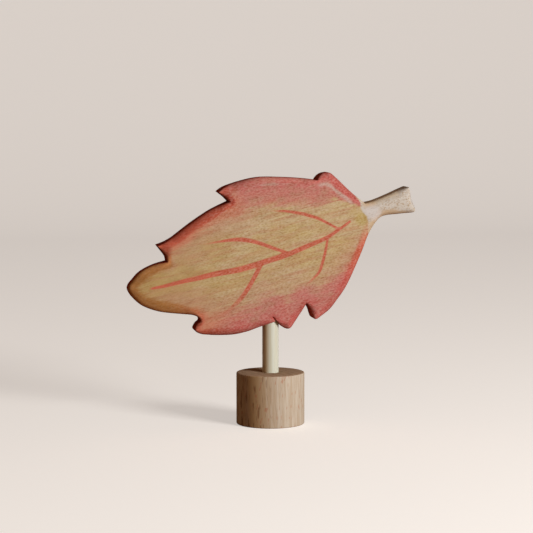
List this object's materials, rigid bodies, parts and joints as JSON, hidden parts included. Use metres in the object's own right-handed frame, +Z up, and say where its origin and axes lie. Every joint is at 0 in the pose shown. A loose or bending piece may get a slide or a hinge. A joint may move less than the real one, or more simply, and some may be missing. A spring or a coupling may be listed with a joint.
{
  "type": "wooden leaf ornament on a peg and base",
  "caption": "Flat painted wooden leaf with a bare stem, standing on a round peg plugged into a small round wooden base.",
  "frame": {"origin": "middle of the base's underside", "axes": "+X along the leaf towards its stem, +Y from the leaf's front face to its back face, +Z up along the peg"},
  "size_m": [0.1057, 0.025, 0.0921],
  "materials": {
    "base_wood": "bare turned wood, vertical grain with short dark flecks, finely sanded",
    "peg_wood": "bare pale dowel, smooth",
    "painted_leaf_wood": "thin matt watercolour stain in ochre and red over sanded wood, bare on the stem"
  },
  "bodies": {
    "base": {"base": "base_wood"},
    "peg": {"peg": "peg_wood"},
    "leaf": {"leaf": "painted_leaf_wood"}
  },
  "joints": [
    {"name": "peg_lift", "type": "slide", "parent": "base", "child": "peg", "axis": [0, 0, 1], "range_m": [0, 0.02]},
    {"name": "leaf_turn", "type": "hinge", "parent": "peg", "child": "leaf", "pos_m": [0, 0, 0.0399], "axis": [0, 0, 1], "continuous": true}
  ]
}
